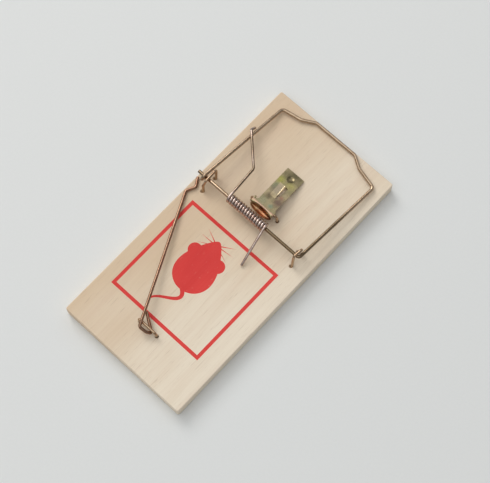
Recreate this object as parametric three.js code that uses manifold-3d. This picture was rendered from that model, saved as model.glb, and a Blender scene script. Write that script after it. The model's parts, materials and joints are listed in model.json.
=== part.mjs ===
// A rat-size wooden snap trap: a sprung wire hammer, a lock bar and a sheet-metal treadle on a wooden board.
// Millimetres, +Z up. The origin is the middle of the board's underside. +Y points to the end that the hammer
// strikes, and the lock bar is stapled near the other end.

import * as THREE from "three";
import { mergeVertices } from "three/addons/utils/BufferGeometryUtils.js";
import Module from "manifold-3d";

const manifoldLibrary = await Module();
manifoldLibrary.setup();
const { Manifold, Mesh: ManifoldMesh } = manifoldLibrary;

// ---------------------------------------------------------------- driving dimensions

const BOARD = { width: 86, length: 178, thickness: 9, edge: 0.5 };
const TOP = BOARD.thickness;
const RESTING_GAP = 0.3;

const WIRE_SIDES = 8;
const BEND_STEPS = 4;

const AXLE = { y: 18.5, height: 7 };
const HAMMER = { wire: 1.0, bend: 2.2, strikerReach: 69.1, eye: 2.3, eyeTurn: 235, eyePitch: 0.8 };
const SPRING = {
  wire: 0.8, bend: 2.0, coil: 2.4, turns: 15, left: -18.4, right: 8.4, sides: 6, stepsPerTurn: 10,
};
const LOCK_BAR = { wire: 0.9, bend: 1.5 };
const TREADLE = { left: -8.4, right: 6.4, sheet: 0.7, near: 22, shoulder: 29.5, far: 55.8 };
const PLATE = { nearLeft: -6.1, nearRight: 6.0, farLeft: -7.9, farRight: 4.5 };
const TONGUE = { left: -3.5, right: 0.5, root: 34.9, tip: 44.5, rise: 4.0 };
const SLOT = { left: -3.7, right: 1.5, near: 35.4, far: 45.3 };
const PIVOT = { y: 27.9, height: 6.3, wire: 0.75, holeClearance: 0.25 };

const STAPLE = { wire: 0.8, bend: 1.6, depth: 6.5, holeClearance: 0.3 };
const LOCK_STAPLE = { y: -66.3, height: 4.5, left: -7.6, right: 5.2 };
const PIVOT_STAPLE = { left: -10.2, right: 9.0 };

const WOOD = { color: 0xd9c4a8, roughness: 0.7, metalness: 0 };
const STEEL = { color: 0x8b8276, roughness: 0.35, metalness: 0.9 };
const YELLOW_ZINC = { color: 0x9c9268, roughness: 0.35, metalness: 0.8 };

// ---------------------------------------------------------------- wire shapes

const point = (x, y, z) => new THREE.Vector3(x, y, z);

// A bent wire's centreline, given as the samples that its section is carried through.
class WirePath extends THREE.Curve {
  constructor(samples) {
    super();
    this.samples = samples;
  }

  getPoint(t, target = new THREE.Vector3()) {
    return target.copy(this.samples[Math.round(t * (this.samples.length - 1))]);
  }

  getPointAt(u, target = new THREE.Vector3()) {
    return this.getPoint(u, target);
  }

  getTangentAt(u, target = new THREE.Vector3()) {
    const last = this.samples.length - 1;
    const i = Math.round(u * last);
    const here = this.samples[i];
    const before = i > 0 ? here.clone().sub(this.samples[i - 1]).normalize() : new THREE.Vector3();
    const after = i < last ? this.samples[i + 1].clone().sub(here).normalize() : new THREE.Vector3();
    return target.copy(before).add(after).normalize();
  }
}

// Replaces each inner corner of a wire's route by a round bend.
function roundCorners(corners, bendRadius) {
  const samples = [corners[0]];
  for (let i = 1; i < corners.length - 1; i += 1) {
    samples.push(...bendAt(corners[i - 1], corners[i], corners[i + 1], bendRadius));
  }
  samples.push(corners[corners.length - 1]);
  return samples;
}

function bendAt(before, corner, after, bendRadius) {
  const toBefore = before.clone().sub(corner);
  const toAfter = after.clone().sub(corner);
  const turn = Math.PI - toBefore.angleTo(toAfter);
  const room = 0.48 * Math.min(toBefore.length(), toAfter.length());
  const reach = Math.min(bendRadius * Math.tan(turn / 2), room);
  const radius = reach / Math.tan(turn / 2);
  const bisector = toBefore.normalize().clone().add(toAfter.normalize()).normalize();
  const centre = corner.clone().addScaledVector(bisector, radius / Math.cos(turn / 2));
  const start = corner.clone().addScaledVector(toBefore, reach).sub(centre);
  const axis = start.clone().cross(corner.clone().sub(centre)).normalize();
  const bend = [];
  for (let k = 0; k <= BEND_STEPS; k += 1) {
    bend.push(start.clone().applyAxisAngle(axis, (turn * k) / BEND_STEPS).add(centre));
  }
  return bend;
}

// Points round an axis that runs along X. The angle is measured from +Y towards +Z, in degrees.
function helix({ x0, x1, y, z, radius, from, to, steps }) {
  const points = [];
  for (let k = 0; k <= steps; k += 1) {
    const t = k / steps;
    const angle = THREE.MathUtils.degToRad(from + (to - from) * t);
    points.push(point(x0 + (x1 - x0) * t, y + radius * Math.cos(angle), z + radius * Math.sin(angle)));
  }
  return points;
}

function wireGeometry(samples, radius, sides = WIRE_SIDES) {
  const section = [];
  for (let k = 0; k < sides; k += 1) {
    const angle = (2 * Math.PI * (k + 0.5)) / sides;
    section.push(new THREE.Vector2(radius * Math.cos(angle), radius * Math.sin(angle)));
  }
  return new THREE.ExtrudeGeometry(new THREE.Shape(section), {
    steps: samples.length - 1,
    extrudePath: new WirePath(samples),
  });
}

// ---------------------------------------------------------------- solid joins and cuts

function toSolid(geometry) {
  const bare = geometry.clone();
  bare.deleteAttribute("normal");
  bare.deleteAttribute("uv");
  const merged = mergeVertices(bare, 1e-4);
  return new Manifold(new ManifoldMesh({
    numProp: 3,
    vertProperties: new Float32Array(merged.getAttribute("position").array),
    triVerts: new Uint32Array(merged.getIndex().array),
  }));
}

function toGeometry(solid) {
  const mesh = solid.getMesh();
  const geometry = new THREE.BufferGeometry();
  geometry.setAttribute("position", new THREE.BufferAttribute(mesh.vertProperties, mesh.numProp));
  geometry.setIndex(new THREE.BufferAttribute(mesh.triVerts, 1));
  geometry.computeVertexNormals();
  return geometry;
}

function named(name, geometry, look) {
  const mesh = new THREE.Mesh(geometry, new THREE.MeshStandardMaterial(look));
  mesh.name = name;
  return mesh;
}

// ---------------------------------------------------------------- staples

// A staple's route over its corners, whose heights are measured from the board's top. Its legs go straight
// into the board.
function stapleRoute(corners) {
  const bent = corners.map(([x, y, height]) => point(x, y, TOP + height));
  const [rear, front] = [bent[0], bent[bent.length - 1]];
  const down = point(0, 0, -STAPLE.depth);
  const overBoard = roundCorners(bent, STAPLE.bend);
  return [rear.clone().add(down), ...overBoard, front.clone().add(down)];
}

// A bracket staple has a level crown along X and upright legs.
function bracketRoute({ left, right }, y, height) {
  return stapleRoute([[left, y, 0], [left, y, height], [right, y, height], [right, y, 0]]);
}

// An axle staple's crown crosses over the axle, and its legs splay down to the board.
const leftAxleRoute = stapleRoute([
  [-33.9, 13.0, 0], [-34.9, 14.0, 5.0], [-34.6, 16.2, 9.1], [-35.0, 25.2, 8.4], [-33.9, 23.4, 0],
]);
const rightAxleRoute = stapleRoute([
  [33.0, 14.1, 0], [31.2, 16.6, 9.1], [31.6, 22.4, 8.9], [29.2, 24.1, 0],
]);
const lockStapleRoute = bracketRoute(LOCK_STAPLE, LOCK_STAPLE.y, LOCK_STAPLE.height);
const pivotStapleRoute = bracketRoute(PIVOT_STAPLE, PIVOT.y, PIVOT.height);

// ---------------------------------------------------------------- board

// The wooden board, with a hole for each staple leg that follows the leg with a little room round it.
function boardGeometry() {
  const { width, length, thickness, edge } = BOARD;
  const outline = new THREE.Shape();
  outline.moveTo(-width / 2 + edge, -length / 2 + edge);
  outline.lineTo(width / 2 - edge, -length / 2 + edge);
  outline.lineTo(width / 2 - edge, length / 2 - edge);
  outline.lineTo(-width / 2 + edge, length / 2 - edge);
  const slab = new THREE.ExtrudeGeometry(outline, {
    depth: thickness - 2 * edge, bevelThickness: edge, bevelSize: edge, bevelSegments: 1,
  });
  slab.translate(0, 0, edge);
  const holes = [
    [leftAxleRoute, STAPLE.wire],
    [rightAxleRoute, STAPLE.wire],
    [lockStapleRoute, STAPLE.wire],
    [pivotStapleRoute, PIVOT.wire],
  ];
  let solid = toSolid(slab);
  for (const [route, wire] of holes) {
    for (const leg of stapleLegs(route)) {
      solid = solid.subtract(toSolid(wireGeometry(leg, wire + STAPLE.holeClearance)));
    }
  }
  return toGeometry(solid);
}

// The parts of a staple's route inside the board, each made a little longer at both ends.
function stapleLegs(route) {
  const ends = [[route[0], route[1]], [route[route.length - 1], route[route.length - 2]]];
  return ends.map(([tip, next]) => {
    const spare = 0.4;
    return [point(tip.x, tip.y, tip.z - spare), point(next.x, next.y, TOP + spare)];
  });
}

// ---------------------------------------------------------------- hammer

// The hammer is one wire: the axle, the right arm, the stepped striking bar, the left arm and an eye round
// the axle. It is laid out flat, with Y measured from the axle, and its group tilts it down to the board.
function hammerGeometry() {
  const reach = HAMMER.strikerReach;
  const axleAndFrame = roundCorners([
    point(-42.4, 0, 0),
    point(34.0, 0, 0),
    point(36.3, reach - 8.2, 0),
    point(22.6, reach - 4.8, 0),
    point(15.2, reach, 0),
    point(-13.9, reach, 0),
    point(-22.0, reach - 4.7, 0),
    point(-34.4, reach - 7.0, 0),
    point(-37.4, 0, HAMMER.eye),
  ], HAMMER.bend);
  axleAndFrame.pop();
  const eye = helix({
    x0: -37.4, x1: -37.4 - HAMMER.eyePitch, y: 0, z: 0,
    radius: HAMMER.eye, from: 88, to: 88 + HAMMER.eyeTurn, steps: 9,
  });
  return wireGeometry([...axleAndFrame, ...eye], HAMMER.wire);
}

function hammerTilt() {
  const drop = AXLE.height - HAMMER.wire - RESTING_GAP;
  return -Math.asin(drop / HAMMER.strikerReach);
}

// ---------------------------------------------------------------- spring

// The torsion spring: a tail on the board, close turns round the axle, and an arm that hooks over the
// hammer's left arm. Both ends leave the coil at its top.
function springGeometry() {
  const axisZ = TOP + AXLE.height;
  const coil = helix({
    x0: SPRING.right, x1: SPRING.left, y: AXLE.y, z: axisZ, radius: SPRING.coil,
    from: 108, to: 88 - 360 * SPRING.turns, steps: SPRING.turns * SPRING.stepsPerTurn,
  });
  const tail = point(12.2, -5.2, TOP + SPRING.wire + RESTING_GAP);
  const arm = roundCorners([
    coil[coil.length - 1],
    point(-19.9, 40.0, TOP + 8.7),
    point(-35.7, 55.4, TOP + 7.0),
    point(-37.8, 57.4, TOP + 6.5),
    point(-37.5, 60.4, TOP + 4.2),
  ], SPRING.bend);
  return wireGeometry([tail, ...coil.slice(0, -1), ...arm], SPRING.wire, SPRING.sides);
}

// ---------------------------------------------------------------- lock bar

// The lock bar, from its cranked tip to the eye that is linked round its staple's crown. The bar passes over
// the crown, the eye goes round behind it and back under it, and its end lies beside the bar.
function lockBarGeometry() {
  const low = TOP + LOCK_BAR.wire + RESTING_GAP;
  const crownZ = TOP + LOCK_STAPLE.height;
  const crownY = LOCK_STAPLE.y;
  const route = roundCorners([
    point(-41.9, 16.9, low),
    point(-38.6, 11.8, low),
    point(-41.2, 6.2, low),
    point(-5.5, crownY, crownZ + 2.0),
    point(-4.1, crownY - 3.2, crownZ + 0.9),
    point(0.2, crownY - 2.7, crownZ - 0.5),
    point(2.4, crownY - 1.3, crownZ - 1.7),
    point(1.6, crownY, crownZ - 2.05),
    point(-7.7, crownY + 5.9, crownZ - 0.6),
  ], LOCK_BAR.bend);
  return wireGeometry(route, LOCK_BAR.wire);
}

// ---------------------------------------------------------------- treadle

// The treadle's side view, as the middle line of its sheet from the far end of the plate to the lip's free
// edge: a flat plate, a bend over the pivot wire, and a trough that curves down and back up behind it.
function treadleProfile() {
  const farHeight = TOP + RESTING_GAP + TREADLE.sheet / 2;
  const bend = { y: PIVOT.y, z: TOP + PIVOT.height, radius: 1.35 };
  const trough = { y: 24.7, z: TOP + 5.4, radius: 2.1 };
  return [
    point(0, TREADLE.far, farHeight),
    ...helix({ ...bend, x0: 0, x1: 0, from: 76, to: 180, steps: 5 }),
    ...helix({ ...trough, x0: 0, x1: 0, from: -5, to: -150, steps: 6 }),
  ];
}

// Thickens a middle line in the YZ plane into a closed outline and extrudes it along X.
function bentSheet(middleLine, sheet, left, right) {
  const path = new WirePath(middleLine);
  const last = middleLine.length - 1;
  const upper = [];
  const lower = [];
  middleLine.forEach((p, i) => {
    const along = path.getTangentAt(i / last);
    const offset = new THREE.Vector2(-along.z, along.y).multiplyScalar(sheet / 2);
    upper.push(new THREE.Vector2(p.y + offset.x, p.z + offset.y));
    lower.unshift(new THREE.Vector2(p.y - offset.x, p.z - offset.y));
  });
  return extrudeAlongX(new THREE.Shape([...upper, ...lower]), left, right);
}

// Extrudes a shape drawn in Y and Z from one X to another.
function extrudeAlongX(shape, left, right) {
  const geometry = new THREE.ExtrudeGeometry(shape, {
    depth: right - left, bevelEnabled: false, curveSegments: 5,
  });
  geometry.applyMatrix4(new THREE.Matrix4().set(0, 0, 1, left, 1, 0, 0, 0, 0, 1, 0, 0, 0, 0, 0, 1));
  return geometry;
}

// One side wall of the treadle, drilled for the pivot wire.
function treadleEar(left) {
  const pivotZ = TOP + PIVOT.height;
  const outline = new THREE.Shape([
    [29.6, 5.2], [29.6, 6.8], [28.9, 7.7], [27.4, 8.0], [26.0, 7.0],
    [22.4, 5.6], [22.4, 4.2], [23.6, 2.9], [26.0, 2.9],
  ].map(([y, height]) => new THREE.Vector2(y, TOP + height)));
  const hole = new THREE.Path();
  hole.absarc(PIVOT.y, pivotZ, PIVOT.wire + PIVOT.holeClearance, 0, 2 * Math.PI, false);
  outline.holes.push(hole);
  return extrudeAlongX(outline, left, left + TREADLE.sheet);
}

// A block with the given outline in X and Y that stands on the board and reaches above the treadle.
function uprightBlock(outline) {
  const shape = new THREE.Shape(outline.map(([x, y]) => new THREE.Vector2(x, y)));
  const block = new THREE.ExtrudeGeometry(shape, { depth: 2 * PIVOT.height, bevelEnabled: false });
  block.translate(0, 0, TOP);
  return toSolid(block);
}

// The treadle seen from above: a plate that runs a little askew, with shoulders where the lip is wider.
function treadlePlan() {
  const { left, right, near, shoulder, far } = TREADLE;
  const room = 1;
  return uprightBlock([
    [left, near - room], [right, near - room], [right, shoulder], [PLATE.nearRight, shoulder],
    [PLATE.farRight, far + room], [PLATE.farLeft, far + room], [PLATE.nearLeft, shoulder], [left, shoulder],
  ]);
}

// The bait tongue: a strap left by a U-shaped cut in the plate, bent up at its free end.
function baitTongue(profile) {
  const { left, right, root, tip, rise } = TONGUE;
  const [far, near] = profile;
  const heightAt = (y) => far.z + ((near.z - far.z) * (y - far.y)) / (near.y - far.y);
  const line = [point(0, tip, heightAt(tip) + rise), point(0, root, heightAt(root))];
  const slot = uprightBlock([
    [SLOT.left, SLOT.near], [SLOT.right, SLOT.near], [SLOT.right, SLOT.far], [SLOT.left, SLOT.far],
  ]);
  const strap = toSolid(bentSheet(line, TREADLE.sheet, left, right));
  return { slot, strap };
}

function treadleGeometry() {
  const { left, right, sheet } = TREADLE;
  const profile = treadleProfile();
  const { slot, strap } = baitTongue(profile);
  const ears = [left - sheet / 2, right - sheet / 2].map(treadleEar);
  let solid = toSolid(bentSheet(profile, sheet, left, right)).intersect(treadlePlan()).subtract(slot);
  for (const part of [strap, ...ears.map(toSolid)]) {
    solid = solid.add(part);
  }
  return toGeometry(solid);
}

// ---------------------------------------------------------------- assembly

const trap = new THREE.Group();

trap.add(named("base_board", boardGeometry(), WOOD));
trap.add(named("left_axle_staple", wireGeometry(leftAxleRoute, STAPLE.wire), STEEL));
trap.add(named("right_axle_staple", wireGeometry(rightAxleRoute, STAPLE.wire), STEEL));
trap.add(named("lock_bar_staple", wireGeometry(lockStapleRoute, STAPLE.wire), STEEL));
trap.add(named("treadle_staple", wireGeometry(pivotStapleRoute, PIVOT.wire), STEEL));

const hammerGroup = new THREE.Group();
hammerGroup.position.set(0, AXLE.y, TOP + AXLE.height);
hammerGroup.rotation.x = hammerTilt();
hammerGroup.add(named("hammer", hammerGeometry(), STEEL));
trap.add(hammerGroup);

trap.add(named("spring", springGeometry(), STEEL));
trap.add(named("lock_bar", lockBarGeometry(), STEEL));
trap.add(named("treadle", treadleGeometry(), YELLOW_ZINC));

export default trap;
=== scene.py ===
"""The looks of a wooden rat-size snap trap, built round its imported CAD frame.

Shapes are written in millimetres in the CAD frame: +Z up, +Y towards the end that the hammer strikes, and the
origin under the middle of the board. They become metres as each mesh is made.
"""

import json
import math

import bmesh
import bpy
from mathutils import Matrix, Vector, geometry


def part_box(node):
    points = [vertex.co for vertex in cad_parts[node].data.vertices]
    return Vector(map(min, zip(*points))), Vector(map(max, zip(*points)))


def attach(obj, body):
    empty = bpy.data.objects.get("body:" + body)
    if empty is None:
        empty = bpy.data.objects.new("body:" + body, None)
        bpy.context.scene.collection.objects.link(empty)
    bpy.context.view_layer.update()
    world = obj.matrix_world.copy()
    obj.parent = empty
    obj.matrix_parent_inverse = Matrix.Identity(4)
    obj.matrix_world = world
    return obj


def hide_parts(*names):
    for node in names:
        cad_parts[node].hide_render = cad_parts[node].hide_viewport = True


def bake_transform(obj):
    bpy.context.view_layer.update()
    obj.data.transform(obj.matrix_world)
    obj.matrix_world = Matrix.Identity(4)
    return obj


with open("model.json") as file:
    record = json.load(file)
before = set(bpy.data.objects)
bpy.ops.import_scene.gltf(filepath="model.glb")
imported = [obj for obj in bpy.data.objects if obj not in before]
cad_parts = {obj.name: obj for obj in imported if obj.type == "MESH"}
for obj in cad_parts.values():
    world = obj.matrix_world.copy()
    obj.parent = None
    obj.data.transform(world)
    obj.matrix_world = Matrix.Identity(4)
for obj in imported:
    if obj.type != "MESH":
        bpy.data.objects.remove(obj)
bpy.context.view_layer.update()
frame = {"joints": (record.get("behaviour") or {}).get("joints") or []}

MM = 0.001
JOINT_AT = {joint["name"]: Vector(joint["pos_m"]) / MM for joint in frame["joints"]}
BOARD_LOW, BOARD_HIGH = (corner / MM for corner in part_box("base_board"))
TOP = BOARD_HIGH.z
AXLE = JOINT_AT["hammer_swing"]
CROWN = JOINT_AT["lock_bar_lift"]
PIVOT = JOINT_AT["treadle_tilt"]

RESTING_GAP = 0.3
WIRE_SIDES = 24
BEND_STEPS = 14
BEND_SHARE = 0.48  # the most of a straight stretch that one bend may take
CUT_ROUNDING = 0.2  # how far a wire's cut ends are rounded, as a share of its radius
TINY = 1e-6

HAMMER = {
    "wire": 1.0, "bend": 2.6, "tight_bend": 1.5, "reach": 69.1,
    "eye": 2.3, "eye_start": 88, "eye_turn": 235, "pitch": 0.8,
}
SPRING = {
    "wire": 0.8, "sides": 20, "coil": 2.4, "turns": 15, "steps_per_turn": 28, "left": -18.4, "right": 8.4,
    "tail_leaves": 108, "arm_leaves": 88, "arm_bend": 2.4,
}
LOCK_BAR = {"wire": 0.9, "bend": 1.7}
STAPLE = {"wire": 0.8, "bend": 1.3, "depth": 6.5}
LOCK_STAPLE = {"left": -7.6, "right": 5.2, "bend": 1.6}
PIVOT_STAPLE = {"wire": 0.75, "left": -10.2, "right": 9.0, "bend": 2.5}
HOLE = {"radius": 1.2, "depth": 3.0, "sides": 18}
HOLE_DRIFT = {"left_axle_staple": (-0.75, -0.4), "right_axle_staple": (-0.5, -0.5)}
USUAL_DRIFT = (0.2, 0.1)

TREADLE = {
    "left": -8.4, "right": 6.4, "middle": -1.0, "sheet": 0.7,
    "shoulder": 29.0, "far": 55.8, "slope": 14.1, "flare": 1.6,
}
PLATE = {"near_left": -6.1, "near_right": 6.0, "far_left": -7.9, "far_right": 4.5}
TONGUE = {
    "left": -3.5, "right": 0.5, "tip": 44.5, "rise": 4.0,
    "curl": 0.35, "curl_width": 0.7, "root_share": 0.4,
}
SLOT = {"left": -3.7, "right": 1.5, "near": 35.4, "far": 45.3}
DIMPLE = {"x": -1.6, "y": 51.0, "radius": 2.3, "depth": 0.66}
REAR_WALL = PIVOT.y - 1.3
FOLD = 0.38
RIM = {"half_length": 7.4, "back": 0.15, "bow": 1.25}
TROUGH = {
    "radius": 2.0, "level": PIVOT.z - 1.1, "turn": 130,
    "half_length": 7.55, "fullness": 2.6, "end_share": 0.4,
}
EAR = {"radius": 1.75, "hole": 1.1, "inset": 0.02}
SHEET_STEP = 0.4
SHOULDER_STEP = 0.2

BOARD_EDGE = {"radius": 0.6, "steps": 4, "corner": 1.2, "corner_steps": 6}
FRAME_PRINT = {"x": -1.9, "y": -28.0, "side": 66.0, "line": 2.1}
MOUSE_PRINT = {"x": -5.0, "y": -20.5, "length": 35.0, "width": 23.0, "turn": 94, "taper": 0.42, "blunt": 0.12}
MOUSE_EAR = {"along": 0.16, "aside": 0.36, "radius": 0.18}
WHISKER = {"root": 0.42, "length": 11.5, "half_width": 0.4, "angles": (62, 88, 114)}
MOUSE_TAIL = {"thick": 1.3, "thin": 0.4, "steps": 36}


# ---------------------------------------------------------------- wire routes


def bend_at(before, corner, after, radius):
    """The points of a round bend that replaces one corner of a route."""
    to_before, to_after = before - corner, after - corner
    turn = math.pi - to_before.angle(to_after)
    room = BEND_SHARE * min(to_before.length, to_after.length)
    reach = min(radius * math.tan(turn / 2), room)
    radius = reach / math.tan(turn / 2)
    to_before.normalize()
    to_after.normalize()
    centre = corner + (to_before + to_after).normalized() * (radius / math.cos(turn / 2))
    start = corner + to_before * reach - centre
    axis = start.cross(corner - centre).normalized()
    turns = (Matrix.Rotation(turn * k / BEND_STEPS, 3, axis) for k in range(BEND_STEPS + 1))
    return [m @ start + centre for m in turns]


def rounded(corners, radius, first_radius=None):
    """A wire's route, with each inner corner replaced by a round bend. The first may have its own radius."""
    route = [corners[0]]
    for i, (before, corner, after) in enumerate(zip(corners, corners[1:], corners[2:])):
        route += bend_at(before, corner, after, first_radius if first_radius and i == 0 else radius)
    return route + [corners[-1]]


def helix(x0, x1, centre, radius, start, end, steps):
    """Points round an axis along X. Angles are in degrees, from +Y towards +Z."""
    points = []
    for k in range(steps + 1):
        t = k / steps
        angle = math.radians(start + (end - start) * t)
        y = centre.y + radius * math.cos(angle)
        z = centre.z + radius * math.sin(angle)
        points.append(Vector((x0 + (x1 - x0) * t, y, z)))
    return points


def curve(p0, p1, p2, p3, steps):
    """Points of one cubic Bezier curve."""
    points = []
    for k in range(steps + 1):
        t = k / steps
        s = 1 - t
        points.append(p0 * s**3 + p1 * (3 * s * s * t) + p2 * (3 * s * t * t) + p3 * t**3)
    return points


def hammer_route():
    """One wire: the axle, the right arm, the stepped striking bar, the left arm and an eye round the axle."""
    reach = HAMMER["reach"]
    eye_x = -37.4
    corners = [Vector(c) for c in (
        (-42.4, 0, 0), (34.0, 0, 0), (36.3, reach - 8.2, 0), (22.6, reach - 4.8, 0), (15.2, reach, 0),
        (-13.9, reach, 0), (-22.0, reach - 4.7, 0), (-34.4, reach - 7.0, 0), (eye_x, 0, HAMMER["eye"]),
    )]
    route = rounded(corners, HAMMER["bend"], HAMMER["tight_bend"])[:-1]
    eye_end = HAMMER["eye_start"] + HAMMER["eye_turn"]
    eye = helix(eye_x, eye_x - HAMMER["pitch"], Vector(), HAMMER["eye"], HAMMER["eye_start"], eye_end,
                2 * BEND_STEPS)
    drop = AXLE.z - TOP - HAMMER["wire"] - RESTING_GAP
    tilt = Matrix.Rotation(-math.asin(drop / reach), 3, "X")
    return [tilt @ p + Vector((0, AXLE.y, AXLE.z)) for p in route + eye]


def spring_route():
    """A tail on the board, close turns round the axle, and an arm that hooks over the hammer's left arm."""
    turns = SPRING["turns"]
    coil = helix(SPRING["right"], SPRING["left"], AXLE, SPRING["coil"], SPRING["tail_leaves"],
                 SPRING["arm_leaves"] - 360 * turns, turns * SPRING["steps_per_turn"])
    tail_end = Vector((12.2, -5.2, TOP + SPRING["wire"] + RESTING_GAP))
    towards_tail = (tail_end - coil[0]).normalized()
    coming_in = (coil[1] - coil[0]).normalized()
    lead = 2.0
    leaving = coil[0] + towards_tail * 2 * lead
    joining = curve(leaving, leaving - towards_tail * lead, coil[0] - coming_in * lead, coil[0], steps=12)
    arm = rounded([
        coil[-1], Vector((-19.9, 40.0, TOP + 8.7)), Vector((-35.7, 55.4, TOP + 7.0)),
        Vector((-37.8, 57.4, TOP + 6.5)), Vector((-37.5, 60.4, TOP + 4.2)),
    ], SPRING["arm_bend"])
    return [tail_end] + joining[:-1] + coil[:-1] + arm


def lock_bar_route():
    """From the cranked tip to the eye, which is linked round the crown of its staple."""
    low = TOP + LOCK_BAR["wire"] + RESTING_GAP
    y, z = CROWN.y, CROWN.z
    bar = ((-41.9, 16.9, low), (-38.6, 11.8, low), (-41.2, 6.2, low), (-5.5, y, z + 2.0))
    eye = ((-4.1, y - 3.2, z + 0.9), (0.2, y - 2.7, z - 0.5), (2.4, y - 1.3, z - 1.7), (1.6, y, z - 2.05))
    end = (-7.7, y + 5.9, z - 0.6)
    return rounded([Vector(c) for c in (*bar, *eye, end)], LOCK_BAR["bend"])


def staple_route(corners, bend):
    """A staple over its corners, whose heights are above the board. Its legs go straight into the board."""
    bent = [Vector((x, y, TOP + height)) for x, y, height in corners]
    down = Vector((0, 0, -STAPLE["depth"]))
    return [bent[0] + down, *rounded(bent, bend), bent[-1] + down]


def bracket_route(left, right, bend, crown):
    """A staple with a level crown along X and upright legs."""
    height = crown.z - TOP
    profile = ((left, 0), (left, height), (right, height), (right, 0))
    return staple_route([(x, crown.y, h) for x, h in profile], bend)


LEFT_AXLE_CORNERS = (
    (-33.9, 13.0, 0), (-34.9, 14.0, 5.0), (-34.6, 16.2, 9.1), (-35.0, 25.2, 8.4), (-33.9, 23.4, 0),
)
RIGHT_AXLE_CORNERS = (
    (33.0, 14.1, 0), (32.6, 15.0, 5.0), (31.8, 16.9, 9.1), (32.4, 22.6, 8.9), (30.4, 22.9, 0),
)

STAPLES = {
    "left_axle_staple": (staple_route(LEFT_AXLE_CORNERS, STAPLE["bend"]), STAPLE["wire"]),
    "right_axle_staple": (staple_route(RIGHT_AXLE_CORNERS, STAPLE["bend"]), STAPLE["wire"]),
    "lock_bar_staple": (bracket_route(**LOCK_STAPLE, crown=CROWN), STAPLE["wire"]),
    "treadle_staple": (
        bracket_route(PIVOT_STAPLE["left"], PIVOT_STAPLE["right"], PIVOT_STAPLE["bend"], PIVOT),
        PIVOT_STAPLE["wire"],
    ),
}


# ---------------------------------------------------------------- meshes


def piece(name, verts, faces, body, materials):
    """A closed mesh in metres that stands for the CAD node of the same name and moves with a body."""
    mesh = bpy.data.meshes.new(name)
    mesh.from_pydata([Vector(v) * MM for v in verts], [], faces)
    mesh.polygons.foreach_set("use_smooth", [True] * len(mesh.polygons))
    for material in materials:
        mesh.materials.append(material)
    obj = bpy.data.objects.new(name + "_look", mesh)
    bpy.context.scene.collection.objects.link(obj)
    if body:
        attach(obj, body)
    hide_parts(name)
    return obj


def tidied(mesh):
    """Joins vertices that coincide, and turns all faces outwards."""
    bm = bmesh.new()
    bm.from_mesh(mesh)
    bmesh.ops.remove_doubles(bm, verts=bm.verts, dist=1e-3 * MM)
    bmesh.ops.recalc_face_normals(bm, faces=bm.faces)
    bm.to_mesh(mesh)
    bm.free()


def strips(rings):
    """Vertices and faces of closed rings of points, each joined to the next."""
    verts = [p for ring in rings for p in ring]
    n = len(rings[0])
    faces = []
    for start in range(0, len(verts) - n, n):
        for k in range(n):
            a, b = start + k, start + (k + 1) % n
            faces.append((a, b, b + n, a + n))
    return verts, faces


def capped(rings):
    """Vertices and faces of joined rings that are closed across the last one."""
    verts, faces = strips(rings)
    faces.append(tuple(range(len(verts) - len(rings[0]), len(verts))))
    return verts, faces


def add_part(verts, faces, more_verts, more_faces):
    """Appends one part's vertices and faces to a mesh's lists."""
    offset = len(verts)
    verts += more_verts
    faces += [tuple(offset + v for v in face) for face in more_faces]


def trimmed(route):
    """The route without points that nearly coincide."""
    closest = 0.02
    kept = [route[0]]
    for p in route[1:]:
        if (p - kept[-1]).length > closest:
            kept.append(p)
    return kept


def directions(route):
    """The direction of a route at each of its points."""
    steps = [(b - a).normalized() for a, b in zip(route, route[1:])]
    inner = [(a + b).normalized() for a, b in zip(steps, steps[1:])]
    return [steps[0], *inner, steps[-1]]


def stations(route, radius):
    """Where a wire's rings go, each as (centre, direction, radius), with its cut ends slightly rounded."""
    along = directions(route)
    edge = CUT_ROUNDING * radius
    rounding = ((0.0, 1.0), (0.3, 0.3), (1.0, 0.0))
    first, last = along[0], along[-1]
    start = [(route[0] + first * edge * deep, first, radius - edge * lost) for deep, lost in rounding]
    end = [(route[-1] - last * edge * deep, last, radius - edge * lost) for deep, lost in reversed(rounding)]
    return start + [(p, d, radius) for p, d in zip(route[1:-1], along[1:-1])] + end


def wire(name, route, radius, body, material, sides=WIRE_SIDES):
    """One bent wire. Its attribute wire_place holds each point's place along it and round it."""
    stops = stations(trimmed(route), radius)
    side = stops[0][1].orthogonal().normalized()
    travelled = 0.0
    rings, places = [], []
    for i, (centre, ahead, r) in enumerate(stops):
        if i:
            side = stops[i - 1][1].rotation_difference(ahead) @ side
            travelled += (centre - stops[i - 1][0]).length
        other = ahead.cross(side)
        ring = []
        for k in range(sides):
            angle = 2 * math.pi * k / sides
            c, s = math.cos(angle), math.sin(angle)
            ring.append(centre + (side * c + other * s) * r)
            places += (travelled, c, s)
        rings.append(ring)
    verts, walls = strips(rings)
    cut_ends = [tuple(reversed(range(sides))), tuple(range(len(verts) - sides, len(verts)))]
    obj = piece(name, verts, cut_ends + walls, body, [material])
    for cut_end in range(len(cut_ends)):
        obj.data.polygons[cut_end].use_smooth = False
    obj.data.attributes.new("wire_place", "FLOAT_VECTOR", "POINT").data.foreach_set("vector", places)
    return obj


# ---------------------------------------------------------------- board


def circle(x, y, radius, sides):
    """The outline of a circle, as points of a plane."""
    angles = (2 * math.pi * k / sides for k in range(sides))
    return [Vector((x + radius * math.cos(a), y + radius * math.sin(a))) for a in angles]


def square(x, y, side):
    """The outline of a square round its middle, as points of a plane."""
    h = side / 2
    return [Vector((x + sx * h, y + sy * h)) for sx, sy in ((-1, -1), (1, -1), (1, 1), (-1, 1))]


def inside(point, loop):
    """True if a point lies inside a closed outline."""
    crossings = 0
    for a, b in zip(loop, loop[1:] + loop[:1]):
        if (a.y > point.y) != (b.y > point.y):
            crossings += point.x < a.x + (point.y - a.y) * (b.x - a.x) / (b.y - a.y)
    return crossings % 2 == 1


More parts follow.
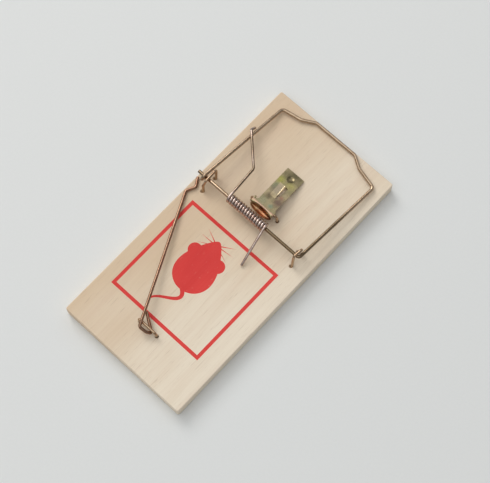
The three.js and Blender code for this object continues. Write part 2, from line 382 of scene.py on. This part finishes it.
def mouse_outlines():
    """The inked loops of a generic mouse seen from above: a body, two ears, a tail and six whiskers."""
    length, width = MOUSE_PRINT["length"], MOUSE_PRINT["width"]
    ear_x = MOUSE_EAR["along"] * length
    ear_y = MOUSE_EAR["aside"] * width
    ear_radius = MOUSE_EAR["radius"] * width
    ears = [circle(ear_x, side * ear_y, ear_radius, sides=32) for side in (-1, 1)]
    whiskers = [whisker(side * angle) for side in (-1, 1) for angle in WHISKER["angles"]]
    turned = Matrix.Rotation(math.radians(MOUSE_PRINT["turn"]), 2)
    at = Vector((MOUSE_PRINT["x"], MOUSE_PRINT["y"]))
    loops = (body_outline(length, width), tail_outline(length), *ears, *whiskers)
    return [[turned @ p + at for p in loop] for loop in loops]


def body_outline(length, width, points=64):
    """The mouse's body with its head towards +X: an oval that narrows to a snout."""
    outline = []
    for k in range(points):
        t = 2 * math.pi * k / points
        narrowing = 1 - MOUSE_PRINT["taper"] * math.cos(t) - MOUSE_PRINT["blunt"] * math.cos(t) ** 2
        outline.append(Vector((length / 2 * math.cos(t), width / 2 * math.sin(t) * narrowing)))
    return outline


def whisker(degrees):
    """A thin straight whisker that starts inside the snout."""
    angle = math.radians(degrees)
    along = Vector((math.cos(angle), math.sin(angle)))
    across = Vector((-along.y, along.x)) * WHISKER["half_width"]
    root = Vector((WHISKER["root"] * MOUSE_PRINT["length"], 0))
    return [root - across, root + along * WHISKER["length"], root + across]


def tail_outline(length):
    """The mouse's tail: a gentle S that trails from the rump to a thin tip."""
    bends = ((-0.46, 0.0), (-0.74, -0.36), (-0.74, 0.52), (-1.04, 0.22))
    line = curve(*(Vector((x * length, y * length, 0)) for x, y in bends), MOUSE_TAIL["steps"])
    left, right = [], []
    for i, (p, along) in enumerate(zip(line, directions(line))):
        half = MOUSE_TAIL["thick"] + (MOUSE_TAIL["thin"] - MOUSE_TAIL["thick"]) * i / (len(line) - 1)
        across = Vector((-along.y, along.x)) * half
        left.append(p.xy + across)
        right.append(p.xy - across)
    return left + right[::-1]


def rim(inset):
    """The board's outline in plan, this far inside its box, with a small radius at each corner."""
    corner, steps = BOARD_EDGE["corner"], BOARD_EDGE["corner_steps"]
    half_x, half_y = BOARD_HIGH.x - corner, BOARD_HIGH.y - corner
    reach = corner - inset
    points = []
    for quarter, (sx, sy) in enumerate(((1, 1), (-1, 1), (-1, -1), (1, -1))):
        for k in range(steps + 1):
            a = math.pi / 2 * (quarter + k / steps)
            points.append(Vector((sx * half_x + reach * math.cos(a), sy * half_y + reach * math.sin(a))))
    return points


def leg_holes():
    """The outline of the hole at each staple leg. It is wider than the leg, and a little off its centre."""
    holes = []
    for name, (route, _) in STAPLES.items():
        dx, dy = HOLE_DRIFT.get(name, USUAL_DRIFT)
        for leg in (route[0], route[-1]):
            holes.append(circle(leg.x + dx, leg.y + dy, HOLE["radius"], HOLE["sides"]))
    return holes


def triangulated(loops):
    """Triangles that fill the plane between outlines, with every outline kept as edges."""
    points, edges = [], []
    for loop in loops:
        start = len(points)
        points += loop
        edges += [(start + k, start + (k + 1) % len(loop)) for k in range(len(loop))]
    merge_distance = 1e-4
    verts, _, faces, *_ = geometry.delaunay_2d_cdt(points, edges, [], 0, merge_distance)
    return verts, [tuple(face) for face in faces]


def middle_of(triangle, plan):
    """The middle of a triangle whose corners are numbers of a plane's points."""
    return sum((plan[v] for v in triangle), Vector((0, 0))) / 3


def board_top(holes):
    """The top's vertices and triangles, and which of the triangles are inked."""
    x, y, side = FRAME_PRINT["x"], FRAME_PRINT["y"], FRAME_PRINT["side"]
    outer, inner = square(x, y, side), square(x, y, side - 2 * FRAME_PRINT["line"])
    mouse = mouse_outlines()
    plan, triangles = triangulated([rim(BOARD_EDGE["radius"]), outer, inner, *mouse, *holes])
    faces, is_ink = [], []
    for triangle in triangles:
        middle = middle_of(triangle, plan)
        if any(inside(middle, hole) for hole in holes):
            continue
        on_frame = inside(middle, outer) and not inside(middle, inner)
        on_mouse = any(inside(middle, loop) for loop in mouse)
        faces.append(triangle)
        is_ink.append(on_frame or on_mouse)
    return [Vector((p.x, p.y, TOP)) for p in plan], faces, is_ink


def board_sides():
    """The board's eased edges, its sides and its underside."""
    radius, steps = BOARD_EDGE["radius"], BOARD_EDGE["steps"]
    rings = []
    for end_z, sign in ((TOP, -1), (BOARD_LOW.z, 1)):
        edge = []
        for k in range(steps + 1):
            a = math.pi / 2 * k / steps
            z = end_z + sign * radius * (1 - math.cos(a))
            edge.append([Vector((p.x, p.y, z)) for p in rim(radius * (1 - math.sin(a)))])
        rings += edge if sign < 0 else edge[::-1]
    return capped(rings)


def board(wood, ink):
    """The board, with eased edges, a hole for each staple leg, and the print as faces of its top."""
    holes = leg_holes()
    verts, faces, is_ink = board_top(holes)
    top_faces = len(faces)
    add_part(verts, faces, *board_sides())
    for hole in holes:
        hole_rings = [[Vector((p.x, p.y, z)) for p in hole] for z in (TOP, TOP - HOLE["depth"])]
        add_part(verts, faces, *capped(hole_rings))
    obj = piece("base_board", verts, faces, "base", [wood, ink])
    is_ink += [False] * (len(faces) - top_faces)
    obj.data.polygons.foreach_set("material_index", [int(inked) for inked in is_ink])
    obj.data.polygons.foreach_set("use_smooth", [i >= top_faces for i in range(len(faces))])
    tidied(obj.data)
    return obj


# ---------------------------------------------------------------- treadle


def clamped(t):
    """The value, kept between 0 and 1."""
    return min(max(t, 0.0), 1.0)


def smooth(t):
    """An eased step from 0 to 1."""
    t = clamped(t)
    return t * t * (3 - 2 * t)


def spaced(start, end, step):
    """Evenly spaced values from start to end, no further apart than step."""
    count = max(1, math.ceil(abs(end - start) / step - TINY))
    return [start + (end - start) * k / count for k in range(count + 1)]


def spread(marks, step):
    """Evenly spaced values that pass through every mark."""
    values = [marks[0]]
    for a, b in zip(marks, marks[1:]):
        values += spaced(a, b, step)[1:]
    return values


def side_view():
    """The treadle's middle line in Y and Z: the plate's rows, the bend over the pivot, and the trough."""
    far_z = TOP + RESTING_GAP + TREADLE["sheet"] / 2
    slope = -math.tan(math.radians(TREADLE["slope"]))
    bend_z = far_z + slope * (REAR_WALL + FOLD - TREADLE["far"]) - FOLD
    bend_centre = Vector((0, REAR_WALL + FOLD, bend_z))
    bend = helix(0, 0, bend_centre, FOLD, start=90 - TREADLE["slope"], end=180, steps=8)
    trough_centre = Vector((0, REAR_WALL - TROUGH["radius"], TROUGH["level"]))
    trough = helix(0, 0, trough_centre, TROUGH["radius"], start=0, end=-TROUGH["turn"], steps=22)
    ys = spread([TREADLE["far"], SLOT["far"], TONGUE["tip"], SLOT["near"], TREADLE["shoulder"]], SHEET_STEP)
    ys += spaced(TREADLE["shoulder"], bend[0].y, SHOULDER_STEP)[1:-1]
    return [Vector((0, y, far_z + slope * (y - TREADLE["far"]))) for y in ys], bend, trough


def bow(x):
    """How far back the treadle's rear rim lies: it is a shallow arc in plan."""
    reach = (x - TREADLE["middle"]) / RIM["half_length"]
    return RIM["back"] - RIM["bow"] * reach * reach


def on_plate(x, p):
    """A point of the plate, with the dimple pressed into it."""
    off = min(math.hypot(x - DIMPLE["x"], p.y - DIMPLE["y"]) / DIMPLE["radius"], 1.0)
    return Vector((x, p.y, p.z - DIMPLE["depth"] * (1 - off * off)))


def on_tongue(x, p):
    """A point of the bait tongue, which rises from its root to its tip and curls up along its right edge."""
    t = (p.y - SLOT["near"]) / (TONGUE["tip"] - SLOT["near"])
    width = TONGUE["curl_width"] * (TONGUE["root_share"] + (1 - TONGUE["root_share"]) * t)
    curl = clamped((x - TONGUE["right"]) / width + 1)
    return Vector((x, p.y, p.z + (TONGUE["rise"] + TONGUE["curl"] * curl * curl) * t))


def on_trough(x, p, share):
    """A point of the trough, which grows shallow towards its ends like the bowl of a spoon."""
    reach = min(abs(x - TREADLE["middle"]) / TROUGH["half_length"], 1.0)
    deep = math.sqrt(1 - reach ** TROUGH["fullness"])
    wide = TROUGH["end_share"] + (1 - TROUGH["end_share"]) * deep
    y = REAR_WALL + (p.y - REAR_WALL) * wide + bow(x) * (1 - smooth(share))
    return Vector((x, y, TROUGH["level"] + (p.z - TROUGH["level"]) * deep))


COLUMNS = (
    ("left flare", 5), ("plate", 9), ("cut", 1), ("tongue", 9), ("cut", 2), ("plate", 12), ("right flare", 5),
)


def tongue_columns():
    """The first and the last column of the tongue's own points."""
    before_tongue = sum(count for _, count in COLUMNS[:3])
    return before_tongue, before_tongue + COLUMNS[3][1]


def columns(y):
    """X of each column of the sheet across the row at y, and the zone of each cell between two columns."""
    t = clamped((y - TREADLE["shoulder"]) / (TREADLE["far"] - TREADLE["shoulder"]))
    left = PLATE["near_left"] + (PLATE["far_left"] - PLATE["near_left"]) * t
    right = PLATE["near_right"] + (PLATE["far_right"] - PLATE["near_right"]) * t
    flare = smooth((TREADLE["shoulder"] - y) / TREADLE["flare"])
    marks = (left + (TREADLE["left"] - left) * flare, left, SLOT["left"], TONGUE["left"], TONGUE["right"],
             SLOT["right"], right, right + (TREADLE["right"] - right) * flare)
    xs, zones = [marks[0]], []
    for a, b, (zone, count) in zip(marks, marks[1:], COLUMNS):
        xs += [a + (b - a) * k / count for k in range(1, count + 1)]
        zones += [zone] * count
    return xs, zones


def is_metal(zone, y):
    """False where the blank is cut away: beside the narrower plate, and round the tongue."""
    if zone.endswith("flare"):
        return y < TREADLE["shoulder"]
    if zone == "cut":
        return not SLOT["near"] < y < SLOT["far"]
    return zone != "tongue" or not TONGUE["tip"] < y < SLOT["far"]


def sheet_grid():
    """The treadle's middle surface as rows of points, and the cells of it that are metal."""
    plate, bend, trough = side_view()
    rows = []
    first_tongue, last_tongue = tongue_columns()
    for p in plate:
        xs, zones = columns(p.y)
        lifted = SLOT["near"] <= p.y <= TONGUE["tip"] + TINY
        row = [on_plate(x, p) for x in xs]
        if lifted:
            for c in range(first_tongue, last_tongue + 1):
                row[c] = on_tongue(xs[c], p)
        rows.append(row)
    for i, p in enumerate(bend):
        share = smooth(i / (len(bend) - 1))
        rows.append([Vector((x, p.y + bow(x) * share, p.z)) for x in columns(p.y)[0]])
    widest = columns(trough[-1].y)[0]
    for i, p in enumerate(trough):
        rows.append([on_trough(x, p, i / (len(trough) - 1)) for x in widest])
    cells = []
    for r, (here, ahead) in enumerate(zip(rows, rows[1:])):
        y = (here[0].y + ahead[0].y) / 2
        cells += [(r, c) for c, zone in enumerate(zones) if is_metal(zone, y)]
    return rows, cells


def thickened(rows, cells, sheet):
    """A closed sheet round a middle surface: its upper side, its lower side and its edges."""
    corners = [((r, c), (r + 1, c), (r + 1, c + 1), (r, c + 1)) for r, c in cells]
    normals = {}
    for loop in corners:
        a, b, c, d = (rows[r][k] for r, k in loop)
        facing = (c - a).cross(d - b)
        for key in loop:
            normals[key] = normals.get(key, Vector()) + facing
    number = {key: i for i, key in enumerate(normals)}
    above = [rows[r][c] + n.normalized() * sheet / 2 for (r, c), n in normals.items()]
    below = [rows[r][c] - n.normalized() * sheet / 2 for (r, c), n in normals.items()]
    n = len(number)
    faces = []
    edges = set()
    for loop in corners:
        top = [number[key] for key in loop]
        faces += [tuple(top), tuple(n + v for v in reversed(top))]
        edges |= set(zip(top, top[1:] + top[:1]))
    faces += [(b, a, n + a, n + b) for a, b in sorted(edges) if (b, a) not in edges]
    return above + below, faces


EAR_TOP = ((-2.2, 0.3), (-1.6, 0.9), (-0.6, 1.3), (0.9, 1.25), (1.6, 1.0))


def ear(x):
    """One side wall, folded down beside the pivot wire and drilled for it."""
    around = helix(0, 0, PIVOT, EAR["radius"], start=-8, end=-172, steps=18)
    outline = [Vector((p.y, p.z)) for p in around] + [Vector((PIVOT.y + y, PIVOT.z + z)) for y, z in EAR_TOP]
    hole = circle(PIVOT.y, PIVOT.z, EAR["hole"], sides=20)
    plan, triangles = triangulated([outline, hole])
    metal = []
    for triangle in triangles:
        middle = middle_of(triangle, plan)
        if inside(middle, outline) and not inside(middle, hole):
            metal.append(triangle)
    half = TREADLE["sheet"] / 2
    sides = (x - half, x + half)
    verts, faces = [], []
    for side in sides:
        add_part(verts, faces, [Vector((side, p.x, p.y)) for p in plan], metal)
    for loop in (outline, hole):
        add_part(verts, faces, *strips([[Vector((side, p.x, p.y)) for p in loop] for side in sides]))
    return verts, faces


def treadle(zinc):
    """The treadle: a pressed sheet with a dimple, a raised bait tongue, a trough and two drilled ears."""
    rows, cells = sheet_grid()
    verts, faces = thickened(rows, cells, TREADLE["sheet"])
    for x in (TREADLE["left"] + EAR["inset"], TREADLE["right"] - EAR["inset"]):
        add_part(verts, faces, *ear(x))
    obj = piece("treadle", verts, faces, "treadle", [zinc])
    tidied(obj.data)
    bevel = obj.modifiers.new("rounded_edges", "BEVEL")
    bevel.width = 0.13 * MM
    bevel.segments = 2
    bevel.limit_method = "ANGLE"
    bevel.angle_limit = math.radians(50)
    bevel.harden_normals = True
    return obj


# ---------------------------------------------------------------- materials


def srgb(r, g, b):
    """A colour written as 8-bit sRGB, as the linear values that Blender uses."""
    def linear(c):
        c /= 255
        return c / 12.92 if c <= 0.04045 else ((c + 0.055) / 1.055) ** 2.4
    return (linear(r), linear(g), linear(b), 1.0)


def node(tree, kind, inputs=None, **settings):
    """Adds a shader node. An input that is another node's socket is linked, and the others are values."""
    made = tree.nodes.new("ShaderNode" + kind)
    for name, value in settings.items():
        setattr(made, name, value)
    for name, value in (inputs or {}).items():
        if isinstance(value, bpy.types.NodeSocket):
            tree.links.new(value, made.inputs[name])
        else:
            made.inputs[name].default_value = value
    return made


def noise(tree, place, stretch, detail=2.0, roughness=0.5):
    """Noise whose cells measure 1 / stretch along each axis, in the units of its place."""
    scaled = node(tree, "VectorMath", {0: place, 1: stretch}, operation="MULTIPLY").outputs[0]
    made = node(tree, "TexNoise", {"Vector": scaled, "Scale": 1.0, "Detail": detail, "Roughness": roughness})
    return made.outputs["Fac"]


def ramp(tree, factor, *stops):
    """Values or colours along a factor. Each stop is (place, value) or (place, colour)."""
    made = node(tree, "ValToRGB", {"Fac": factor})
    elements = made.color_ramp.elements
    while len(elements) < len(stops):
        elements.new(0.5)
    for element, (place, value) in zip(elements, stops):
        element.position = place
        element.color = value if isinstance(value, tuple) else (value, value, value, 1.0)
    return made.outputs["Color"]


def mixed(tree, factor, a, b, blend="MIX"):
    """Mixes two colours. Each of a and b is a colour or another node's socket."""
    made = tree.nodes.new("ShaderNodeMix")
    made.data_type = "RGBA"
    made.blend_type = blend
    for index, value in ((0, factor), (6, a), (7, b)):
        if isinstance(value, bpy.types.NodeSocket):
            tree.links.new(value, made.inputs[index])
        else:
            made.inputs[index].default_value = value
    return made.outputs[2]


def math_node(tree, operation, a, b=0.0):
    """The result of one operation on values or sockets."""
    return node(tree, "Math", {0: a, 1: b}, operation=operation).outputs[0]


def new_material(name):
    """A material with its node tree, its shader and the place of each point in the CAD frame, in metres."""
    material = bpy.data.materials.new(name)
    material.use_nodes = True
    tree = material.node_tree
    shader = tree.nodes["Principled BSDF"]
    place = node(tree, "TexCoord").outputs["Object"]
    return material, tree, shader, place


def connect(tree, shader, colour, roughness, height, bump_strength, bump_mm):
    """Wires a colour, a roughness and a bump height into a shader."""
    tree.links.new(colour, shader.inputs["Base Color"])
    tree.links.new(roughness, shader.inputs["Roughness"])
    bump = node(tree, "Bump", {"Height": height, "Strength": bump_strength, "Distance": bump_mm * MM})
    tree.links.new(bump.outputs["Normal"], shader.inputs["Normal"])


def wood_pattern(tree, place):
    """Pale softwood cut from a log whose pith runs along Y, below the board: (colour, roughness, height)."""
    wander = noise(tree, place, (14, 5, 14), 3.0)
    pith = (0.052, 0.0, -0.075)
    from_pith = node(tree, "VectorMath", {0: place, 1: pith}, operation="SUBTRACT").outputs[0]
    across = node(tree, "VectorMath", {0: from_pith, 1: (1.0, 0.03, 1.0)}, operation="MULTIPLY").outputs[0]
    radius = node(tree, "VectorMath", {0: across}, operation="LENGTH").outputs["Value"]
    ring_mm, wander_mm = 3.4, 9.0
    bent = math_node(tree, "ADD", radius, math_node(tree, "MULTIPLY", wander, wander_mm * MM))
    ring = math_node(tree, "FRACT", math_node(tree, "DIVIDE", bent, ring_mm * MM))
    late = ramp(tree, ring, (0.0, 0.0), (0.62, 0.12), (0.86, 0.75), (0.93, 1.0), (1.0, 0.0))
    fibre = noise(tree, place, (1500, 34, 1500), 3.0, 0.6)
    streak = noise(tree, place, (190, 5, 190), 2.0)
    fleck = ramp(tree, noise(tree, place, (2300, 110, 2300), 1.0), (0.66, 0.0), (0.74, 1.0))
    cloud = noise(tree, place, (26, 12, 26), 2.0)
    # Painted light: the wood is painted paler towards +X and -Y, as if more light falls there.
    painted_light_towards = (7.0, -1.2, 0.0)
    slope = node(tree, "VectorMath", {0: place, 1: painted_light_towards}, operation="DOT_PRODUCT").outputs["Value"]
    cloud_and_painted_light = math_node(tree, "ADD", slope, cloud)
    colour = mixed(tree, ramp(tree, cloud_and_painted_light, (0.22, 0.0), (0.88, 1.0)), srgb(226, 202, 172), srgb(246, 233, 212))
    colour = mixed(tree, math_node(tree, "MULTIPLY", late, 0.14), colour, srgb(216, 188, 158))
    colour = mixed(tree, ramp(tree, streak, (0.5, 0.0), (0.78, 0.24)), colour, srgb(222, 192, 168))
    colour = mixed(tree, ramp(tree, fibre, (0.42, 0.0), (0.7, 0.13)), colour, srgb(206, 180, 150))
    colour = mixed(tree, math_node(tree, "MULTIPLY", fleck, 0.22), colour, srgb(160, 128, 98))
    roughness = ramp(tree, fibre, (0.3, 0.56), (0.7, 0.72))
    height = math_node(tree, "SUBTRACT", fibre, math_node(tree, "MULTIPLY", fleck, 0.6))
    return colour, roughness, height


def wood_material():
    """Planed and unvarnished softwood."""
    material, tree, shader, place = new_material("wood")
    colour, roughness, height = wood_pattern(tree, place)
    connect(tree, shader, colour, roughness, height, bump_strength=0.35, bump_mm=0.12)
    shader.inputs["Specular IOR Level"].default_value = 0.3
    return material


def ink_material():
    """Red printing ink that sinks into the wood. The grain shows through it, and more so in thin spots."""
    material, tree, shader, place = new_material("red_ink")
    colour, roughness, height = wood_pattern(tree, place)
    thin = ramp(tree, noise(tree, place, (900, 260, 900), 4.0, 0.7), (0.62, 0.02), (0.8, 0.5))
    cloud = noise(tree, place, (60, 22, 60), 2.0)
    shade = ramp(tree, cloud, (0.3, srgb(220, 46, 46)), (0.7, srgb(234, 60, 56)))
    stained = mixed(tree, 0.10, shade, colour, "MULTIPLY")
    colour = mixed(tree, thin, stained, colour)
    connect(tree, shader, colour, roughness, height, bump_strength=0.25, bump_mm=0.1)
    shader.inputs["Specular IOR Level"].default_value = 0.35
    return material


def drawn_wire(name, pale, dark, rust, dullness, painted_shade=()):
    """Drawn steel wire: fine streaks, dull stretches, brown blooms, and painted shade given as (centre,
    reach).
    """
    material, tree, shader, place = new_material(name)
    along = node(tree, "Attribute", attribute_name="wire_place", attribute_type="GEOMETRY").outputs["Vector"]
    streak = noise(tree, along, (0.22, 5.5, 5.5), 3.0, 0.65)
    stretch = noise(tree, along, (0.12, 0.7, 0.7), 2.0)
    bloom = noise(tree, place, (240, 240, 240), 3.0, 0.6)
    pit = ramp(tree, noise(tree, place, (3200, 3200, 3200), 2.0), (0.64, 0.0), (0.76, 1.0))
    colour = mixed(tree, ramp(tree, streak, (0.3, 0.0), (0.7, 1.0)), dark, pale)
    colour = mixed(tree, ramp(tree, bloom, (0.48, 0.0), (0.75, 0.5)), colour, rust)
    for centre, reach in painted_shade:
        # Painted shade: an olive-brown tint that dulls the wire's reflections near each centre.
        tint_and_shade_share = math_node(tree, "MULTIPLY", patch(tree, place, centre, reach, bloom), 0.85)
        colour = mixed(tree, tint_and_shade_share, colour, srgb(120, 102, 78))
    colour = mixed(tree, math_node(tree, "MULTIPLY", pit, 0.35), colour, srgb(70, 56, 44))
    roughness = math_node(tree, "ADD", ramp(tree, stretch, (0.3, dullness - 0.07), (0.7, dullness + 0.09)),
                          math_node(tree, "MULTIPLY", pit, 0.15))
    height = math_node(tree, "SUBTRACT", streak, math_node(tree, "MULTIPLY", pit, 0.5))
    connect(tree, shader, colour, roughness, height, bump_strength=0.15, bump_mm=0.03)
    shader.inputs["Metallic"].default_value = 1.0
    return material


def patch(tree, place, centre, reach, noise_value):
    """1 near a point of the CAD frame in millimetres, falling to 0 at its reach, with a ragged edge."""
    at = tuple(c * MM for c in centre)
    off = node(tree, "VectorMath", {0: place, 1: at}, operation="DISTANCE").outputs["Value"]
    ragged = math_node(tree, "ADD", math_node(tree, "DIVIDE", off, reach * MM),
                       math_node(tree, "MULTIPLY", math_node(tree, "SUBTRACT", noise_value, 0.5), 0.9))
    return ramp(tree, ragged, (0.25, 1.0), (1.0, 0.0))


# Each tint is its centre in the CAD frame, how far it reaches, and its colour.
# The plate's tints: the zinc's bloom, painted shade at the far end and over the tongue, and darker patches by
# the tongue's root.
PLATE_TINTS_AND_PAINTED_SHADE = (
    ((-5.6, 47.0, TOP + 3), 3.8, (178, 174, 96)),
    ((-4.6, 42.5, TOP + 4), 3.2, (156, 162, 122)),
    ((1.4, 47.8, TOP + 3), 3.4, (186, 176, 112)),
    ((2.8, 38.0, TOP + 5), 2.2, (180, 130, 112)),
    ((1.7, 30.0, TOP + 7), 2.2, (136, 156, 132)),
    ((-3.5, 30.0, TOP + 7), 3.8, (168, 162, 130)),
    # Darker and pinker right of the tongue's root.
    ((4.0, 34.8, TOP + 6), 4.6, (128, 104, 94)),
    # Painted shade: the far end darker, for its dim reflection.
    ((-1.5, 55.0, TOP + 1), 7.6, (106, 98, 72)),
    # Painted shade: the raised tongue darker, dulling its bright reflection.
    ((-2.0, 41.0, TOP + 6.6), 6.0, (140, 128, 112)),
    # Darker left of the tongue's root.
    ((-3.3, 34.8, TOP + 6), 3.2, (120, 106, 86)),
)
# Painted light in the trough: orange painted reflections of the wood, a painted shadow at its right end, a
# painted highlight and a darker spot.
TROUGH_PAINTED_LIGHT = (
    ((0, 24.3, TOP + 3.6), 5.0, (178, 112, 76)),
    ((-6.0, 24.3, TOP + 3.8), 3.6, (176, 116, 80)),
    # Painted shadow at the trough's right end.
    ((5.2, 25.0, TOP + 4), 3.4, (104, 48, 34)),
    # Painted highlight.
    ((1.6, 24.4, TOP + 3.3), 2.0, (216, 154, 114)),
    ((-2.6, 24.4, TOP + 3.4), 1.8, (128, 74, 50)),
)
# A painted highlight along the tongue's curled right edge.
TONGUE_EDGE_PAINTED_HIGHLIGHT = tuple(
    ((TONGUE["right"] + 0.1, 44.2 - 1.3 * k, TOP + 7.5 - 0.3 * k), 1.1, (250, 228, 190)) for k in range(5)
)


def zinc_material():
    """Yellow-passivated zinc plate: grey-green, with a bloom of green, yellow and pink, and painted shade,
    reflections and highlights.
    """
    material, tree, shader, place = new_material("yellow_zinc")
    coarse = noise(tree, place, (210, 210, 210), 3.0, 0.6)
    fine = noise(tree, place, (1500, 420, 1500), 3.0, 0.65)
    mottling = ramp(tree, coarse, (0.34, 0.0), (0.66, 1.0))
    colour = mixed(tree, mottling, srgb(160, 148, 112), srgb(190, 172, 136))
    # The bloom's tints, with painted shade, painted reflections and painted highlights.
    for centre, reach, tint in PLATE_TINTS_AND_PAINTED_SHADE + TROUGH_PAINTED_LIGHT + TONGUE_EDGE_PAINTED_HIGHLIGHT:
        tint_and_shade_share = math_node(tree, "MULTIPLY", patch(tree, place, centre, reach, coarse), 0.85)
        colour = mixed(tree, tint_and_shade_share, colour, srgb(*tint))
    # Painted highlight: the fold along the rear rim painted pale pink.
    rim_start, rim_width = 26.2, 1.5
    y = node(tree, "SeparateXYZ", {0: place}).outputs["Y"]
    across_rim = math_node(tree, "DIVIDE", math_node(tree, "SUBTRACT", y, rim_start * MM), rim_width * MM)
    rim_painted_highlight = ramp(tree, across_rim, (0.0, 0.0), (0.3, 0.9), (0.6, 0.8), (1.0, 0.0))
    colour = mixed(tree, rim_painted_highlight, colour, srgb(206, 168, 146))
    colour = mixed(tree, ramp(tree, fine, (0.5, 0.0), (0.75, 0.4)), colour, srgb(104, 98, 72))
    roughness = ramp(tree, coarse, (0.3, 0.22), (0.7, 0.36))
    connect(tree, shader, colour, roughness, fine, bump_strength=0.25, bump_mm=0.04)
    shader.inputs["Metallic"].default_value = 1.0
    return material


def floor_material():
    """Matt, nearly white paper."""
    material, tree, shader, place = new_material("floor_paper")
    speck = noise(tree, place, (700, 700, 700), 3.0)
    colour = mixed(tree, speck, srgb(231, 233, 232), srgb(235, 237, 236))
    roughness = ramp(tree, speck, (0.3, 0.75), (0.7, 0.85))
    connect(tree, shader, colour, roughness, speck, bump_strength=0.1, bump_mm=0.05)
    return material


# ---------------------------------------------------------------- the trap


board(wood_material(), ink_material())

staple_metal = drawn_wire("staple_wire", srgb(204, 178, 150), srgb(158, 132, 104), srgb(166, 116, 84), 0.2)
for staple, (route, radius) in STAPLES.items():
    wire(staple, route, radius, "base", staple_metal)

# Painted shade on the hammer: the axle's right stretch and left end, and the right arm, dulling bright
# reflections.
hammer_painted_shade = [((x, AXLE.y, AXLE.z), 13.0) for x in (13.0, 20.0, 27.0)]
hammer_painted_shade += [
    ((-41.5, AXLE.y, AXLE.z), 7.0),
    ((34.6, 28.0, TOP + 6), 14.0),
    ((35.4, 46.0, TOP + 5), 14.0),
]
hammer_metal = drawn_wire("hammer_wire", srgb(208, 184, 158), srgb(162, 138, 112), srgb(168, 130, 100), 0.19,
                          hammer_painted_shade)
wire("hammer", hammer_route(), HAMMER["wire"], "hammer", hammer_metal)

# Painted shade on the spring's arm, dulling its bright reflections.
spring_arm_painted_shade = [
    ((-19.0, 27.0, TOP + 8.7), 8.0),
    ((-20.0, 37.0, TOP + 8.7), 10.0),
    ((-30.0, 50.0, TOP + 7.6), 14.0),
]
spring_metal = drawn_wire("spring_wire", srgb(240, 224, 216), srgb(158, 132, 116), srgb(160, 112, 92), 0.16,
                          spring_arm_painted_shade)
spring = wire("spring", spring_route(), SPRING["wire"], None, spring_metal, SPRING["sides"])
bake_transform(spring)

lock_metal = drawn_wire("lock_wire", srgb(184, 148, 124), srgb(118, 86, 66), srgb(140, 88, 64), 0.2)
wire("lock_bar", lock_bar_route(), LOCK_BAR["wire"], "lock_bar", lock_metal)

treadle(zinc_material())


# ---------------------------------------------------------------- studio, in metres


def add_floor(size=6.0, below=0.00005):
    """The pale surface that the trap lies on, a hair below the board so that no faces coincide."""
    corners = [(p.x, p.y, -below) for p in square(0, 0, size)]
    mesh = bpy.data.meshes.new("floor")
    mesh.from_pydata(corners, [], [(0, 1, 2, 3)])
    mesh.materials.append(floor_material())
    floor = bpy.data.objects.new("floor", mesh)
    bpy.context.scene.collection.objects.link(floor)


def add_light(name, place, size, power, colour):
    """A square soft box that faces the trap."""
    data = bpy.data.lights.new(name, "AREA")
    data.size = size
    data.energy = power
    data.color = colour
    light = bpy.data.objects.new(name, data)
    light.location = place
    light.rotation_euler = Vector(place).to_track_quat("Z", "Y").to_euler()
    bpy.context.scene.collection.objects.link(light)


def add_world(strength):
    """An even, faintly blue light from all round."""
    world = bpy.data.worlds.new("studio")
    world.use_nodes = True
    background = world.node_tree.nodes["Background"]
    background.inputs["Color"].default_value = (0.96, 0.98, 1.0, 1.0)
    background.inputs["Strength"].default_value = strength
    bpy.context.scene.world = world


def add_camera(azimuth, elevation, roll, distance, target, lens):
    """A camera that looks at a target. Azimuth 0 looks along +Y, and the angles are in degrees."""
    az, el = math.radians(azimuth), math.radians(elevation)
    back = Vector((math.sin(az) * math.cos(el), -math.cos(az) * math.cos(el), math.sin(el)))
    right = Vector((math.cos(az), math.sin(az), 0))
    level = Matrix((right, back.cross(right), back)).transposed()
    data = bpy.data.cameras.new("camera")
    data.lens = lens
    data.sensor_width = 36
    camera = bpy.data.objects.new("camera", data)
    turned = Matrix.Rotation(math.radians(roll), 3, back) @ level
    camera.matrix_world = Matrix.Translation(Vector(target) + back * distance) @ turned.to_4x4()
    bpy.context.scene.collection.objects.link(camera)
    bpy.context.scene.camera = camera


add_floor()
add_world(0.30)
add_light("overhead", (-0.24, -0.45, 1.76), size=1.9, power=12.3, colour=(1.0, 0.99, 0.975))
add_light("key", (-2.24, 0.62, 2.1), size=1.65, power=38.5, colour=(1.0, 0.98, 0.955))
add_light("far", (-0.25, 0.95, 0.95), size=0.8, power=1.1, colour=(0.98, 0.99, 1.0))
add_camera(azimuth=44.54, elevation=71.83, roll=-1.88, distance=0.7661,
           target=(0.0039, 0.0069, 0.009), lens=100.15)
bpy.context.scene.view_settings.view_transform = "Standard"
